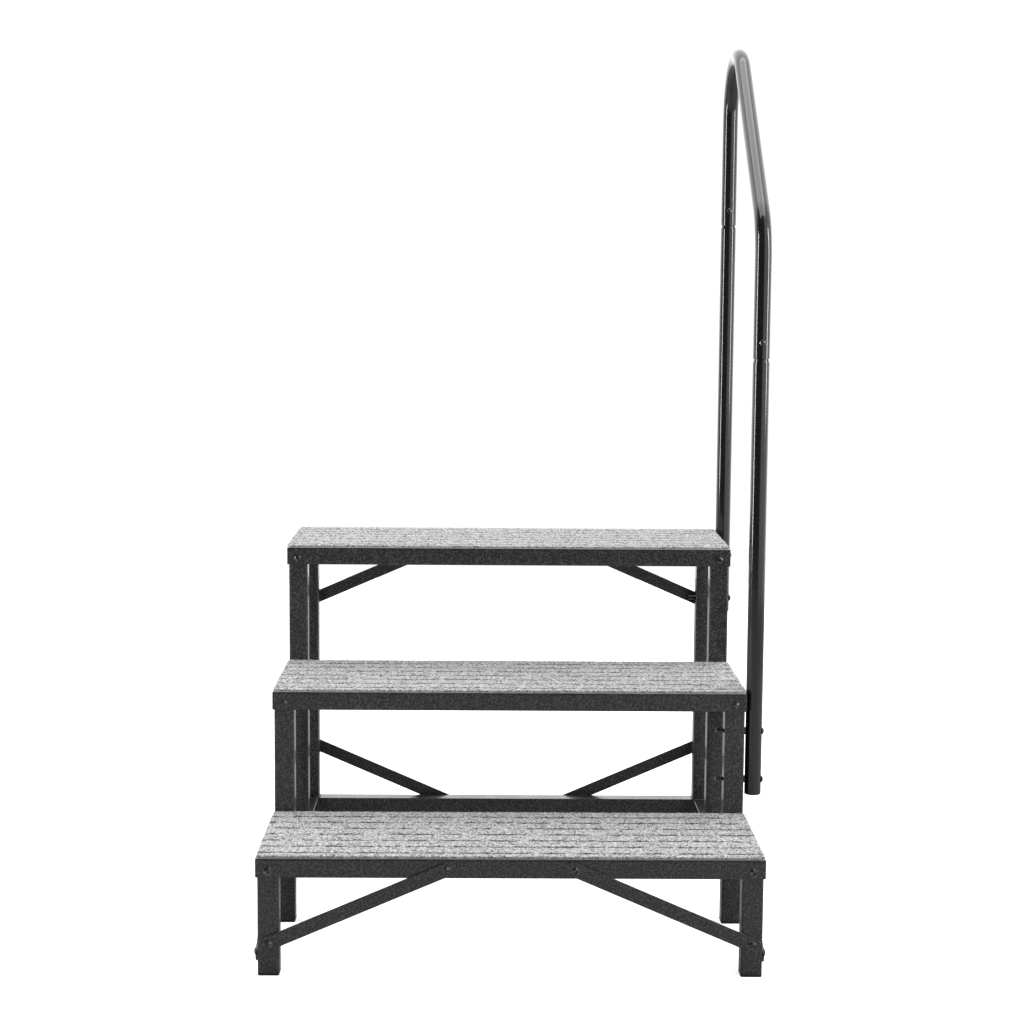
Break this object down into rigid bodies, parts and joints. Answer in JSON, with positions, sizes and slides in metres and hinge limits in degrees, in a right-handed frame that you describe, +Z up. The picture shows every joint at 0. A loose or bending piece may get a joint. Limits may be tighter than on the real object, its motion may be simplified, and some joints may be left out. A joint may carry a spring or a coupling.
{
  "type": "mounting block",
  "caption": "Three-tread mounting block on a bolted black steel stand, with ribbed grey carpet treads and a bent tube handrail on the right.",
  "frame": {"origin": "on the floor, under the middle of the whole object's box", "axes": "+X to the handrail side (the climber's right), +Y from the first riser to the back, +Z up"},
  "size_m": [0.7419, 0.7538, 1.3418],
  "materials": {
    "powder_coat": "fine-textured satin black powder coat",
    "tube_coat": "smooth glossy black powder coat",
    "black_zinc": "black zinc plated steel, semi-gloss",
    "cap_plastic": "moulded black plastic",
    "carpet": "ribbed grey needle-punch carpet",
    "underlay": "thin pale foam underlay"
  },
  "bodies": {
    "root": {"step1_frame": "powder_coat", "step2_frame": "powder_coat", "step3_frame": "powder_coat", "step1_deck": "powder_coat", "step2_deck": "powder_coat", "step3_deck": "powder_coat", "step1_underlay": "underlay", "step2_underlay": "underlay", "step3_underlay": "underlay", "step1_carpet": "carpet", "step2_carpet": "carpet", "step3_carpet": "carpet", "front_leg_left": "powder_coat", "front_leg_right": "powder_coat", "middle_leg_left": "powder_coat", "middle_leg_right": "powder_coat", "upper_leg_left": "powder_coat", "upper_leg_right": "powder_coat", "rear_leg_left": "powder_coat", "rear_leg_right": "powder_coat", "front_foot_left": "cap_plastic", "front_foot_right": "cap_plastic", "middle_foot_left": "cap_plastic", "middle_foot_right": "cap_plastic", "upper_foot_left": "cap_plastic", "upper_foot_right": "cap_plastic", "rear_foot_left": "cap_plastic", "rear_foot_right": "cap_plastic", "front_brace_left": "powder_coat", "front_brace_right": "powder_coat", "side_brace_left": "powder_coat", "side_brace_right": "powder_coat", "rear_upper_brace_left": "powder_coat", "rear_upper_brace_right": "powder_coat", "rear_lower_brace_left": "powder_coat", "rear_lower_brace_right": "powder_coat", "rear_floor_rail": "powder_coat", "side_floor_rail_left": "powder_coat", "side_floor_rail_right": "powder_coat", "front_rail_post": "tube_coat", "rear_rail_post": "tube_coat", "handrail_bend": "tube_coat", "front_post_cap": "cap_plastic", "rear_post_cap": "cap_plastic", "post_spacers": "black_zinc", "corner_bolts": "black_zinc", "frame_joining_bolts": "black_zinc", "brace_bolts": "black_zinc", "post_bolts": "black_zinc", "splice_screws": "black_zinc", "leg_nuts": "black_zinc", "brace_nuts": "black_zinc", "post_nuts": "black_zinc"}
  },
  "joints": []
}
